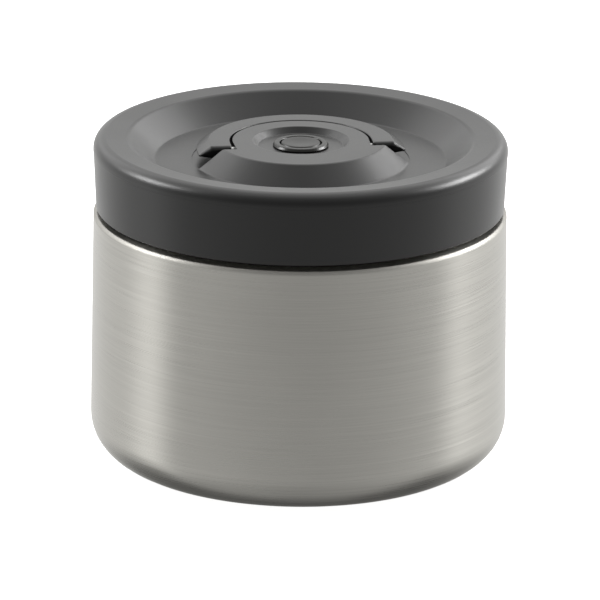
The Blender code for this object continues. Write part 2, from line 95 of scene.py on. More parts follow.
class PotSizes(bpy.types.PropertyGroup):
    """Sizes of the steel pot."""

    steel: bpy.props.FloatProperty(
        name="Sheet", description="Thickness of the steel sheet", default=0.0005, unit="LENGTH")
    side_radius: bpy.props.FloatProperty(
        name="Side radius", description="Side wall's line carried down to the table",
        default=0.0652, unit="LENGTH")
    shoulder_radius: bpy.props.FloatProperty(
        name="Shoulder radius", description="Radius where the side meets the shoulder",
        default=0.0641, unit="LENGTH")
    shoulder_height: bpy.props.FloatProperty(
        name="Shoulder height", description="Height of the flat shoulder",
        default=0.0783, unit="LENGTH")
    shoulder_round: bpy.props.FloatProperty(
        name="Shoulder round", description="Round of the shoulder's edge", default=0.0011,
        unit="LENGTH")
    base_corner: bpy.props.FloatProperty(
        name="Base corner", description="Round of the base", default=0.0129, unit="LENGTH")
    ring_radius: bpy.props.FloatProperty(
        name="Standing ring", description="Inner edge of the ring that the pot stands on",
        default=0.0440, unit="LENGTH")
    base_recess: bpy.props.FloatProperty(
        name="Base recess", description="Height of the recessed base", default=0.0019, unit="LENGTH")
    base_flange: bpy.props.FloatProperty(
        name="Base flange", description="Ledge that carries the base plate", default=0.0050,
        unit="LENGTH")
    inner_corner: bpy.props.FloatProperty(
        name="Inner corner", description="Round of the inner pot's floor", default=0.0145,
        unit="LENGTH")
    lip_width: bpy.props.FloatProperty(
        name="Lip", description="Reach of the inner pot's folded lip", default=0.0011, unit="LENGTH")


class ThreadSizes(bpy.types.PropertyGroup):
    """Sizes of the four-start thread between neck and lid."""

    starts: bpy.props.IntProperty(
        name="Starts", description="Number of thread starts", default=4, min=1)
    lead: bpy.props.FloatProperty(
        name="Lead", description="Rise of one start in a full turn", default=0.0120, unit="LENGTH")
    reach: bpy.props.FloatProperty(
        name="Reach", description="How far a thread stands out of its wall", default=0.0011,
        unit="LENGTH")
    width: bpy.props.FloatProperty(
        name="Width", description="Width of a thread at its root", default=0.0015, unit="LENGTH")
    sweep: bpy.props.FloatProperty(
        name="Sweep", description="Angle that one start spans", default=math.radians(104),
        subtype="ANGLE")
    first_height: bpy.props.FloatProperty(
        name="First height", description="Height of a neck thread's lower end", default=0.0835,
        unit="LENGTH")


class LidSizes(bpy.types.PropertyGroup):
    """Sizes of the lid's mouldings."""

    wall: bpy.props.FloatProperty(
        name="Wall", description="Wall of the outer moulding", default=0.0022, unit="LENGTH")
    liner_wall: bpy.props.FloatProperty(
        name="Liner wall", description="Wall of the inner moulding", default=0.0018, unit="LENGTH")
    rim_round: bpy.props.FloatProperty(
        name="Rim round", description="Round of the rim's outer edge", default=0.0039, unit="LENGTH")
    rim_width: bpy.props.FloatProperty(
        name="Rim width", description="Width of the rim's top", default=0.0068, unit="LENGTH")
    rim_dip: bpy.props.FloatProperty(
        name="Rim dip", description="Fall of the rim's top towards the dish", default=0.0005,
        unit="LENGTH")
    rim_inner_round: bpy.props.FloatProperty(
        name="Rim inner round", description="Round between rim and dish", default=0.0026,
        unit="LENGTH")
    dish_run: bpy.props.FloatProperty(
        name="Dish run", description="Run of the dish's sloping wall", default=0.0084, unit="LENGTH")
    dish_depth: bpy.props.FloatProperty(
        name="Dish depth", description="Dish floor below the rim's crest", default=0.0074,
        unit="LENGTH")
    hub_base: bpy.props.FloatProperty(
        name="Hub base", description="Radius of the hub at the dish floor", default=0.0334,
        unit="LENGTH")
    hub_top: bpy.props.FloatProperty(
        name="Hub top", description="Radius of the hub's flat top", default=0.0264, unit="LENGTH")
    hub_rise: bpy.props.FloatProperty(
        name="Hub rise", description="Height of the hub above the dish floor", default=0.0060,
        unit="LENGTH")
    core_radius: bpy.props.FloatProperty(
        name="Core radius", description="Core that the handle lies against", default=0.0211,
        unit="LENGTH")
    core_lean: bpy.props.FloatProperty(
        name="Core lean", description="How much narrower the core is at its front", default=0.0003,
        unit="LENGTH")
    cup_radius: bpy.props.FloatProperty(
        name="Cup radius", description="Shallow cup round the button", default=0.0150, unit="LENGTH")
    cup_run: bpy.props.FloatProperty(
        name="Cup run", description="Run of the cup's wall", default=0.0018, unit="LENGTH")
    cup_depth: bpy.props.FloatProperty(
        name="Cup depth", description="Depth of the cup", default=0.0018, unit="LENGTH")
    well_depth: bpy.props.FloatProperty(
        name="Well depth", description="Well in the dish floor under the handle", default=0.0002,
        unit="LENGTH")
    well_margin: bpy.props.FloatProperty(
        name="Well margin", description="Well's edge outside the hub's base", default=0.0003,
        unit="LENGTH")
    leg_length: bpy.props.FloatProperty(
        name="Leg length", description="Straight legs of the handle", default=0.0050, unit="LENGTH")
    leg_gap: bpy.props.FloatProperty(
        name="Leg gap", description="Gap between the legs and the front of the hub", default=0.0030,
        unit="LENGTH")
    cut_round: bpy.props.FloatProperty(
        name="Cut round", description="Softened edges of the hub's cut faces", default=0.00035,
        unit="LENGTH")


class HandleSizes(bpy.types.PropertyGroup):
    """Sizes of the folding handle."""

    gap: bpy.props.FloatProperty(
        name="Slit", description="Slit between core and handle", default=0.0009, unit="LENGTH")
    top: bpy.props.FloatProperty(
        name="Top", description="Width of the flat top", default=0.0064, unit="LENGTH")
    flank: bpy.props.FloatProperty(
        name="Flank", description="Run of the sloping flank", default=0.0038, unit="LENGTH")
    fall: bpy.props.FloatProperty(
        name="Fall", description="Fall of the flank", default=0.0027, unit="LENGTH")
    lip: bpy.props.FloatProperty(
        name="Lip", description="Blunt lower edge of the flank", default=0.0005, unit="LENGTH")
    flat: bpy.props.FloatProperty(
        name="Underside", description="Thick part of the underside", default=0.0040, unit="LENGTH")
    end_round: bpy.props.FloatProperty(
        name="End round", description="Round of the legs' ends", default=0.0013, unit="LENGTH")


class FinishColours(bpy.types.PropertyGroup):
    """Colours of the object's finishes."""

    steel: bpy.props.FloatVectorProperty(
        name="Brushed steel", description="Colour of the brushed outer steel", subtype="COLOR",
        default=(0.55, 0.538, 0.503))
    inner_steel: bpy.props.FloatVectorProperty(
        name="Inner steel", description="Colour of the smooth inner steel", subtype="COLOR",
        default=(0.62, 0.612, 0.585))
    lid: bpy.props.FloatVectorProperty(
        name="Lid grey", description="Colour of the lid's plastic", subtype="COLOR",
        default=(0.0095, 0.0094, 0.0094))
    button: bpy.props.FloatVectorProperty(
        name="Button grey", description="Colour of button and bezel", subtype="COLOR",
        default=(0.016, 0.016, 0.0145))
    liner: bpy.props.FloatVectorProperty(
        name="Liner grey", description="Colour of the inner moulding", subtype="COLOR",
        default=(0.06, 0.06, 0.06))
    silicone: bpy.props.FloatVectorProperty(
        name="Silicone", description="Colour of the gasket and the valve's seal", subtype="COLOR",
        default=(0.60, 0.60, 0.57))
    foam: bpy.props.FloatVectorProperty(
        name="Foam", description="Colour of the lid's foam", subtype="COLOR",
        default=(0.85, 0.85, 0.82))
    pin: bpy.props.FloatVectorProperty(
        name="Pin steel", description="Colour of the handle's pins", subtype="COLOR",
        default=(0.62, 0.62, 0.61))
    spring: bpy.props.FloatVectorProperty(
        name="Spring steel", description="Colour of the valve's spring", subtype="COLOR",
        default=(0.6, 0.6, 0.6))
    glass: bpy.props.FloatVectorProperty(
        name="Sealing glass", description="Colour of the bead in the base", subtype="COLOR",
        default=(0.20, 0.17, 0.13))
    getter: bpy.props.FloatVectorProperty(
        name="Getter", description="Colour of the getter's pellet", subtype="COLOR",
        default=(0.4, 0.4, 0.41))
    foil: bpy.props.FloatVectorProperty(
        name="Foil", description="Colour of the foil in the vacuum gap", subtype="COLOR",
        default=(0.85, 0.85, 0.86))


class StageSettings(bpy.types.PropertyGroup):
    """Camera, floor and lights."""

    azimuth: bpy.props.FloatProperty(
        name="Azimuth", description="Camera's turn about the object", default=math.radians(-7.6),
        subtype="ANGLE")
    elevation: bpy.props.FloatProperty(
        name="Elevation", description="Camera's height angle", default=math.radians(18.063),
        subtype="ANGLE")
    roll: bpy.props.FloatProperty(
        name="Roll", description="Camera's lean about its view axis", default=0.0100, subtype="ANGLE")
    distance: bpy.props.FloatProperty(
        name="Distance", description="Camera to the object's middle", default=1.70, unit="LENGTH")
    aim_height: bpy.props.FloatProperty(
        name="Aim height", description="Height that the camera looks at", default=0.050,
        unit="LENGTH")
    lens: bpy.props.FloatProperty(
        name="Lens", description="Focal length in millimetres on a 36 mm sensor", default=327.1)
    shift_x: bpy.props.FloatProperty(
        name="Shift X", description="Sideways lens shift", default=0.00125)
    shift_y: bpy.props.FloatProperty(
        name="Shift Y", description="Upright lens shift", default=-0.00674)
    left_light: bpy.props.FloatProperty(
        name="Left panel", description="Power of the left side panel, in watts", default=7.2)
    right_light: bpy.props.FloatProperty(
        name="Right panel", description="Power of the right side panel, in watts", default=11.0)
    back_light: bpy.props.FloatProperty(
        name="Back panels", description="Power of the left back panel, in watts, half of the right's",
        default=1.5)
    top_light: bpy.props.FloatProperty(
        name="Top panel", description="Power of the overhead panel, in watts", default=1.5)
    level: bpy.props.FloatProperty(
        name="Surroundings", description="Brightness of the surroundings as a whole", default=1.0)


# Surroundings: brightness by the angle in degrees from the camera's side
AROUND = ((-180, 0.82), (-124, 0.70), (-106, 0.76), (-92, 1.06), (-84, 0.99), (-74, 0.61),
          (-50, 0.56), (0, 0.46), (50, 0.53), (72, 0.60), (84, 0.68), (98, 0.93), (112, 0.80),
          (150, 0.76), (180, 0.82))

# The same by a direction's rise, from -1 straight down to 1 straight up
FRONT = ((-1.0, 0.75), (-0.75, 0.80), (-0.42, 1.10), (-0.25, 1.10), (-0.05, 0.75), (0.25, 0.45),
         (0.7, 0.55), (1.0, 0.9))
BEHIND = ((-1.0, 0.14), (-0.8, 0.14), (-0.62, 0.35), (-0.42, 1.0), (-0.2, 1.15), (0.0, 1.02),
          (0.17, 1.0), (0.31, 1.22), (0.45, 1.0), (0.62, 1.6), (0.85, 1.3), (1.0, 0.9))


SETTINGS = {
    "lunch_pot": PotSizes,
    "lunch_thread": ThreadSizes,
    "lunch_lid": LidSizes,
    "lunch_handle": HandleSizes,
    "lunch_finish": FinishColours,
    "lunch_stage": StageSettings,
}


# Outlines and meshes

def rounded(corners):
    """Points along a line of (radius, height, fillet) corners, each with its own fillet."""
    points = []
    for i, (r, z, fillet) in enumerate(corners):
        corner = Vector((r, z))
        if fillet == 0 or i in (0, len(corners) - 1):
            points.append(corner)
            continue
        back = (Vector(corners[i - 1][:2]) - corner).normalized()
        ahead = (Vector(corners[i + 1][:2]) - corner).normalized()
        opening = back.angle(ahead)
        reach = fillet / math.tan(opening / 2)
        centre = corner + (back + ahead).normalized() * (fillet / math.sin(opening / 2))
        start = corner + back * reach - centre
        turn = math.pi - opening
        if start.y * back.x - start.x * back.y < 0:
            turn = -turn
        steps = max(2, math.ceil(abs(turn) / ARC_STEP))
        for k in range(steps + 1):
            angle = turn * k / steps
            points.append(centre + Vector((start.x * math.cos(angle) - start.y * math.sin(angle),
                                           start.x * math.sin(angle) + start.y * math.cos(angle))))
    return points


def sheet(path, thickness):
    """Closed outline of a sheet with one face on the path and the other to its left."""
    left = []
    for i, point in enumerate(path):
        before = (point - path[i - 1]).normalized() if i else None
        after = (path[i + 1] - point).normalized() if i + 1 < len(path) else None
        before = before or after
        after = after or before
        normal = Vector((-before.y - after.y, before.x + after.x)).normalized()
        left.append(point + normal * (thickness / normal.dot(Vector((-before.y, before.x)))))
    return list(path) + left[::-1]


def new_object(name, builder):
    """Turns a bmesh into a named, smooth object with crisp edges where its faces fold sharply."""
    bmesh.ops.remove_doubles(builder, verts=builder.verts, dist=1e-7)
    bmesh.ops.recalc_face_normals(builder, faces=builder.faces)
    mesh = bpy.data.meshes.new(name)
    builder.to_mesh(mesh)
    builder.free()
    mesh.shade_smooth()
    mesh.set_sharp_from_angle(angle=SHARP)
    made = bpy.data.objects.new(name, mesh)
    bpy.context.scene.collection.objects.link(made)
    return made


def turned(name, outline, steps=ROUND_STEPS):
    """A solid of revolution about +Z from the closed outline of (radius, height) points."""
    bm = bmesh.new()
    verts = [bm.verts.new((max(p[0], 0.0), 0.0, p[1])) for p in outline]
    edges = []
    for a, b in zip(verts, verts[1:] + verts[:1]):
        if a.co.x > 0 or b.co.x > 0:
            edges.append(bm.edges.new((a, b)))
    bmesh.ops.spin(bm, geom=verts + edges, cent=(0, 0, 0), axis=(0, 0, 1), angle=TURN,
                   steps=steps, use_merge=True, use_duplicate=False)
    return new_object(name, bm)


def swept(name, section, stations):
    """A tube through the stations, each a function that puts a point of the section in place."""
    bm = bmesh.new()
    rings = [[bm.verts.new(place(p)) for p in section] for place in stations]
    for near, far in zip(rings, rings[1:]):
        for a in range(len(section)):
            b = (a + 1) % len(section)
            bm.faces.new((near[a], near[b], far[b], far[a]))
    bm.faces.new(rings[0][::-1])
    bm.faces.new(rings[-1])
    return new_object(name, bm)


def circle(radius, sides):
    """Points of a wire's round section."""
    return [(radius * math.cos(TURN * k / sides), radius * math.sin(TURN * k / sides))
            for k in range(sides)]


def rod(name, radius, start, end, round_edge=0.0):
    """A round rod along X between two places, with its end edges rounded."""
    length = abs(end[0] - start[0])
    left = min(start[0], end[0])
    outline = rounded([(0, 0, 0), (radius, 0, round_edge),
                       (radius, length, round_edge), (0, length, 0)])
    made = turned(name, outline, ROD_STEPS)
    made.data.transform(Matrix.Translation((left, start[1], start[2]))
                        @ Matrix.Rotation(math.pi / 2, 4, "Y"))
    return made


def subtract(target, cutter):
    """Takes the cutter's shape out of the target for good."""
    modifier = target.modifiers.new("cut", "BOOLEAN")
    modifier.operation = "DIFFERENCE"
    modifier.solver = "EXACT"
    modifier.object = cutter
    apply_modifiers(target)
    bpy.data.objects.remove(cutter)


def apply_modifiers(target):
    """Replaces the object's mesh by its evaluated one."""
    graph = bpy.context.evaluated_depsgraph_get()
    graph.update()
    mesh = bpy.data.meshes.new_from_object(target.evaluated_get(graph))
    old = target.data
    target.modifiers.clear()
    target.data = mesh
    mesh.name = target.name
    bpy.data.meshes.remove(old)


def soften(target, width):
    """Rounds the object's sharp edges and keeps its flat faces flat in shading."""
    bevel = target.modifiers.new("soften", "BEVEL")
    bevel.width = width
    bevel.segments = 2
    bevel.limit_method = "ANGLE"
    bevel.angle_limit = math.radians(40)
    apply_modifiers(target)
    target.data.shade_smooth()
    target.data.set_sharp_from_angle(angle=SHARP)


def dress(piece, material, body, *nodes, slot):
    """Gives a finished piece its material and body, and lets it stand for the CAD nodes; slot is not
    used.
    """
    piece.data.materials.append(material)
    even = piece.modifiers.new("even_shading", "WEIGHTED_NORMAL")
    even.keep_sharp = True
    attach(piece, body)
    if nodes:
        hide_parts(*nodes)


# Materials

class Nodes:
    """Short ways to add and join shader nodes."""

    def __init__(self, name):
        old = bpy.data.materials.get(name)
        if old:
            bpy.data.materials.remove(old)
        self.material = bpy.data.materials.new(name)
        self.material.use_nodes = True
        self.tree = self.material.node_tree
        self.shader = self.tree.nodes["Principled BSDF"]
        self.places = self.tree.nodes.new("ShaderNodeTexCoord").outputs["Object"]

    def set(self, **values):
        """Sets the shader's own sockets."""
        for socket, value in values.items():
            self.shader.inputs[socket.replace("_", " ")].default_value = value

    def feed(self, **outputs):
        """Joins outputs of other nodes to the shader's sockets."""
        for socket, output in outputs.items():
            self.join(output, self.shader.inputs[socket.replace("_", " ")])

    def join(self, output, target):
        self.tree.links.new(output, target)

    def stretched(self, scale):
        """The object's own coordinates, scaled differently along X, Y and Z."""
        mapping = self.tree.nodes.new("ShaderNodeMapping")
        mapping.inputs["Scale"].default_value = scale
        self.join(self.places, mapping.inputs["Vector"])
        return mapping.outputs["Vector"]

    def noise(self, vector, scale, detail, rough=0.55, distortion=0.0):
        node = self.tree.nodes.new("ShaderNodeTexNoise")
        node.inputs["Scale"].default_value = scale
        node.inputs["Detail"].default_value = detail
        node.inputs["Roughness"].default_value = rough
        node.inputs["Distortion"].default_value = distortion
        self.join(vector, node.inputs["Vector"])
        return node.outputs["Fac"]

    def spread(self, value, low, high, out_low, out_high):
        """Maps a value from one range to another, and holds it inside the new one."""
        node = self.tree.nodes.new("ShaderNodeMapRange")
        node.inputs["From Min"].default_value = low
        node.inputs["From Max"].default_value = high
        node.inputs["To Min"].default_value = out_low
        node.inputs["To Max"].default_value = out_high
        self.join(value, node.inputs["Value"])
        return node.outputs["Result"]

    def tint(self, factor, first, second):
        """A colour between two others."""
        node = self.tree.nodes.new("ShaderNodeMix")
        node.data_type = "RGBA"
        node.inputs["A"].default_value = (*first, 1.0)
        node.inputs["B"].default_value = (*second, 1.0)
        self.join(factor, node.inputs["Factor"])
        return node.outputs["Result"]

    def add(self, first, second, operation="ADD"):
        node = self.tree.nodes.new("ShaderNodeMath")
        node.operation = operation
        self.join(first, node.inputs[0])
        if isinstance(second, (int, float)):
            node.inputs[1].default_value = second
        else:
            self.join(second, node.inputs[1])
        return node.outputs["Value"]

    def bump(self, height, distance, strength):
        node = self.tree.nodes.new("ShaderNodeBump")
        node.inputs["Strength"].default_value = strength
        node.inputs["Distance"].default_value = distance
        self.join(height, node.inputs["Height"])
        return node.outputs["Normal"]


def scaled(colour, factor):
    """The colour made darker or lighter."""
    return tuple(min(1.0, c * factor) for c in colour)


def brushed_steel(name, colour, roughness, streak=1.0, turned_down=False, dull_edge=None):
    """Stainless steel brushed round the pot's axis.

    With turned_down it is brushed in rings on a flat face, and the brushing is coarser
    between the two heights in dull_edge.
    """
    n = Nodes(name)
    if turned_down:
        ring = n.tree.nodes.new("ShaderNodeVectorMath")
        ring.operation = "LENGTH"
        n.join(n.stretched((1, 1, 0)), ring.inputs[0])
        along = n.tree.nodes.new("ShaderNodeCombineXYZ")
        n.join(ring.outputs["Value"], along.inputs["X"])
        fine = n.noise(along.outputs["Vector"], 9000, 3)
        broad = n.noise(along.outputs["Vector"], 1400, 3)
    else:
        fine = n.noise(n.stretched((38, 38, 6500)), 1.0, 3, 0.6)
        broad = n.noise(n.stretched((14, 14, 1500)), 1.0, 3, 0.55)
    clouds = n.noise(n.places, 26, 3, 0.5)
    marks = n.noise(n.stretched((230, 230, 2600)), 1.0, 2, 0.4)
    both = n.add(n.add(fine, 0.6, "MULTIPLY"), n.add(broad, 0.4, "MULTIPLY"))
    rough = n.add(n.spread(both, 0.3, 0.7, roughness - 0.05, roughness + 0.05),
                  n.spread(clouds, 0.35, 0.65, -0.02, 0.02))
    rough = n.add(rough, n.spread(marks, 0.70, 0.80, 0.0, -0.03))
    if dull_edge:
        coarser = 0.26
        fade = 0.0001
        low, high = dull_edge
        middle = (low + high) / 2
        split = n.tree.nodes.new("ShaderNodeSeparateXYZ")
        n.join(n.places, split.inputs["Vector"])
        rough = n.add(rough, n.spread(split.outputs["Z"], low, middle, 0.0, coarser))
        rough = n.add(rough, n.spread(split.outputs["Z"], high - fade, high, 0.0, -coarser))
    tangent = n.tree.nodes.new("ShaderNodeTangent")
    tangent.direction_type = "RADIAL"
    tangent.axis = "Z"
    n.set(Metallic=1.0, Anisotropic=0.75, Anisotropic_Rotation=0.25)
    n.feed(Base_Color=n.tint(n.spread(both, 0.35, 0.65, 0, 1), scaled(colour, 1 - 0.10 * streak),
                             scaled(colour, 1 + 0.08 * streak)),
           Roughness=rough,
           Normal=n.bump(both, 0.000012, 0.5 * streak),
           Tangent=tangent.outputs["Tangent"])
    return n.material


def smooth_steel(name, colour, roughness):
    """Drawn or polished steel with faint drawing marks and a little cloudiness."""
    n = Nodes(name)
    marks = n.noise(n.stretched((90, 90, 900)), 1.0, 3, 0.5)
    clouds = n.noise(n.places, 60, 3, 0.5)
    n.set(Metallic=1.0)
    n.feed(Base_Color=n.tint(n.spread(marks, 0.35, 0.65, 0, 1), scaled(colour, 0.94),
                             scaled(colour, 1.04)),
           Roughness=n.add(n.spread(clouds, 0.35, 0.65, roughness - 0.03, roughness + 0.04),
                           n.spread(marks, 0.35, 0.65, -0.015, 0.015)),
           Normal=n.bump(marks, 0.00002, 0.35))
    return n.material


def satin_plastic(name, colour, roughness, grain=0.000016, level=0.5, coat=0.0):
    """Spark-eroded moulded plastic: a very fine grain, faint flow clouds and handling marks."""
    n = Nodes(name)
    fine = n.noise(n.places, 5200, 2, 0.5)
    coarse = n.noise(n.places, 1500, 3, 0.55)
    clouds = n.noise(n.places, 34, 4, 0.55)
    height = n.add(n.add(fine, 0.5, "MULTIPLY"), coarse)
    n.set(Specular_IOR_Level=level, Coat_Weight=coat, Coat_Roughness=roughness)
    n.feed(Base_Color=n.tint(n.spread(clouds, 0.3, 0.7, 0, 1), scaled(colour, 0.92),
                             scaled(colour, 1.08)),
           Roughness=n.add(n.spread(clouds, 0.3, 0.7, roughness - 0.03, roughness + 0.03),
                           n.spread(coarse, 0.3, 0.7, -0.02, 0.02)),
           Normal=n.bump(height, grain, 0.6))
    return n.material


def soft_silicone(name, colour):
    """Milky silicone with a soft, slightly dusty surface."""
    n = Nodes(name)
    clouds = n.noise(n.places, 120, 3, 0.5)
    grain = n.noise(n.places, 2600, 2, 0.5)
    n.set(Subsurface_Weight=0.15, Subsurface_Scale=0.0015)
    n.feed(Base_Color=n.tint(n.spread(clouds, 0.3, 0.7, 0, 1), scaled(colour, 0.93),
                             scaled(colour, 1.05)),
           Roughness=n.spread(clouds, 0.3, 0.7, 0.42, 0.55),
           Normal=n.bump(grain, 0.00002, 0.5))
    return n.material


def cell_foam(name, colour):
    """Closed-cell foam with small pits, each painted darker towards its middle as painted shade."""
    n = Nodes(name)
    cells = n.tree.nodes.new("ShaderNodeTexVoronoi")
    cells.inputs["Scale"].default_value = 1400
    n.join(n.places, cells.inputs["Vector"])
    pit_depth_and_shade = cells.outputs["Distance"]
    # The colour follows the pits' depth: painted shade darkens each pit towards its middle.
    n.feed(Base_Color=n.tint(n.spread(pit_depth_and_shade, 0.1, 0.6, 0, 1), scaled(colour, 0.8), colour),
           Roughness=n.spread(pit_depth_and_shade, 0.1, 0.6, 0.8, 0.95),
           Normal=n.bump(pit_depth_and_shade, 0.0001, 0.5))
    return n.material


def aluminium(name, colour, roughness, wrinkle):
    """Soft aluminium with a crinkled or a pressed surface, painted darker in the hollows of its folds
    as painted shade.
    """
    n = Nodes(name)
    fold_depth_and_shade = n.noise(n.places, 240, 5, 0.6, distortion=0.6)
    n.set(Metallic=1.0)
    # The hollows of the folds are painted darker: painted shade in the creases.
    n.feed(Base_Color=n.tint(n.spread(fold_depth_and_shade, 0.3, 0.7, 0, 1), scaled(colour, 0.9), colour),
           Roughness=n.spread(fold_depth_and_shade, 0.3, 0.7, roughness - 0.05, roughness + 0.06),
           Normal=n.bump(fold_depth_and_shade, wrinkle, 0.7))
    return n.material


def fused_glass(name, colour):
    """Dark sealing glass with small bubbles under a glossy skin."""
    n = Nodes(name)
    bubbles = n.noise(n.places, 1800, 2, 0.4)
    n.feed(Base_Color=n.tint(n.spread(bubbles, 0.4, 0.7, 0, 1), colour, scaled(colour, 1.5)),
           Roughness=n.spread(bubbles, 0.4, 0.7, 0.10, 0.22),
           Normal=n.bump(bubbles, 0.00004, 0.4))
    return n.material


# Places that several pieces share

def settings(name):
    return getattr(bpy.context.scene, name)


def pot_outer():
    """Outer radius of the inner pot's straight wall."""
    return POT_HIGH.x - settings("lunch_pot").lip_width


def neck_outer():
    return pot_outer() + FIT + settings("lunch_pot").steel


def base_ledge():
    """Inner edge of the ledge that carries the base plate."""
    pot = settings("lunch_pot")
    return pot.ring_radius - pot.base_recess / 2 - pot.base_flange


def skirt_inner():
    return LINER_HIGH.x - settings("lunch_lid").liner_wall


def plug_foot():
    return SEAL_HIGH.z + FIT


def dish_floor():
    return LID_HIGH.z - settings("lunch_lid").dish_depth


def hub_top():
    return dish_floor() + settings("lunch_lid").hub_rise


def cup_floor():
    return hub_top() - settings("lunch_lid").cup_depth


def bezel_inner():
    slide_gap = 0.0004
    return BUTTON_HIGH.x + slide_gap


def bezel_outer():
    """Outer radius of the bezel below its flange."""
    wall = 0.0008
    return bezel_inner() + wall


def tube_outer():
    """Outer radius of the lid's tube round the bezel."""
    wall = 0.0016
    return bezel_outer() + FIT + wall


def pin_radius():
    return (PIN_HIGH.z - PIN_LOW.z) / 2


def pivot():
    """Middle of the handle's pins: (y, z)."""
    return (PIN_LOW.y + PIN_HIGH.y) / 2, (PIN_LOW.z + PIN_HIGH.z) / 2


def pin_bore(name, side, inner, outer):
    """Cutter for a pin's bore from one distance from the lid's axis to another."""
    clearance = 0.0002
    y, z = pivot()
    return rod(name, pin_radius() + clearance, (side * inner, y, z), (side * outer, y, z))


def lid_plastic(name):
    """The grey that cover and handle share."""
    return satin_plastic(name, settings("lunch_finish").lid, roughness=0.34, level=0.25, coat=0.7)


class LUNCH_OT_outer_shell(bpy.types.Operator):
    """Drawn outer wall with standing ring, rounded base, shoulder and neck."""

    bl_idname = "lunch.outer_shell"
    bl_label = "Outer Shell"

    def execute(self, context):
        pot = settings("lunch_pot")
        ring_bend = 0.0007
        neck_bend = 0.0008
        path = rounded([
            (base_ledge(), pot.base_recess, 0),
            (base_ledge() + pot.base_flange, pot.base_recess, ring_bend),
            (pot.ring_radius, 0.0, ring_bend),
            (pot.side_radius, 0.0, pot.base_corner),
            (pot.shoulder_radius, pot.shoulder_height, pot.shoulder_round),
            (neck_outer(), pot.shoulder_height, neck_bend),
            (neck_outer(), SHELL_HIGH.z, 0),
        ])
        shell = turned("steel_shell", sheet(path, pot.steel))
        below_round = 0.0003
        dull_edge = (pot.shoulder_height - pot.shoulder_round - below_round, pot.shoulder_height)
        steel = brushed_steel("brushed_shell_steel", settings("lunch_finish").steel,
                              roughness=0.30, dull_edge=dull_edge)
        dress(shell, steel, "pot", "outer_shell", slot="brushed_steel")
        return {"FINISHED"}


class LUNCH_OT_neck_thread(bpy.types.Operator):
    """Rolled thread starts on the outside of the neck."""

    bl_idname = "lunch.neck_thread"
    bl_label = "Neck Thread"

    def execute(self, context):
        thread = settings("lunch_thread")
        ridge = thread_ridges("neck_thread", neck_outer(), 1, thread.first_height)
        steel = smooth_steel("rolled_thread_steel", settings("lunch_finish").inner_steel,
                             roughness=0.28)
        dress(ridge, steel, "pot", slot="brushed_steel")
        return {"FINISHED"}


def thread_ridges(name, wall, side, first_height):
    """All starts of a thread as low rounded ridges; side is 1 on an outer wall and -1 in a bore."""
    thread = settings("lunch_thread")
    crown = thread.width * 0.45   # width of the ridge's flat top
    root = 0.0002                 # depth of the ridge's root in the wall
    taper = math.radians(9)       # turn over which a ridge's end rises
    end_height = 0.12             # height of its very end, as a share of the whole
    steps = 52
    section = rounded([(-root, -thread.width / 2, 0), (thread.reach, -crown / 2, SOFT),
                       (thread.reach, crown / 2, SOFT), (-root, thread.width / 2, 0)])
    parts = []
    for start in range(thread.starts):
        stations = []
        for k in range(steps + 1):
            turn = thread.sweep * k / steps
            rise = min(1.0, turn / taper, (thread.sweep - turn) / taper)
            height = end_height + (1 - end_height) * math.sin(rise * math.pi / 2)
            angle = start * TURN / thread.starts + turn
            stations.append(helix_place(wall, side, angle, height,
                                        first_height + thread.lead * turn / TURN))
        parts.append(swept(f"{name}_{start}", section, stations))
    return join_pieces(name, parts)


def helix_place(wall, side, angle, height, z):
    """A function that puts one section point in place on the thread; its root stays in the wall."""
    def place(point):
        out = point[0] if point[0] < 0 else point[0] * height
        radius = wall + side * out
        return (radius * math.cos(angle), radius * math.sin(angle), z + point[1])
    return place


def join_pieces(name, parts):
    """Joins objects into one mesh of separate shells."""
    bm = bmesh.new()
    for part in parts:
        bm.from_mesh(part.data)
        old = part.data
        bpy.data.objects.remove(part)
        bpy.data.meshes.remove(old)
    return new_object(name, bm)


class LUNCH_OT_inner_pot(bpy.types.Operator):
    """Drawn inner vessel with rounded floor corner and folded lip."""

    bl_idname = "lunch.inner_pot"
    bl_label = "Inner Pot"

    def execute(self, context):
        pot = settings("lunch_pot")
        path = rounded([
            (0.0, POT_LOW.z, 0),
            (pot_outer(), POT_LOW.z, pot.inner_corner),
            (pot_outer(), POT_HIGH.z - pot.steel, SOFT),
            (POT_HIGH.x, POT_HIGH.z - pot.steel, 0),
        ])
        vessel = turned("steel_inner_pot", sheet(path, pot.steel))
        steel = brushed_steel("inner_pot_steel", settings("lunch_finish").inner_steel,
                              roughness=0.24, streak=0.6)
        dress(vessel, steel, "pot", "inner_pot", slot="inner_steel")
        return {"FINISHED"}


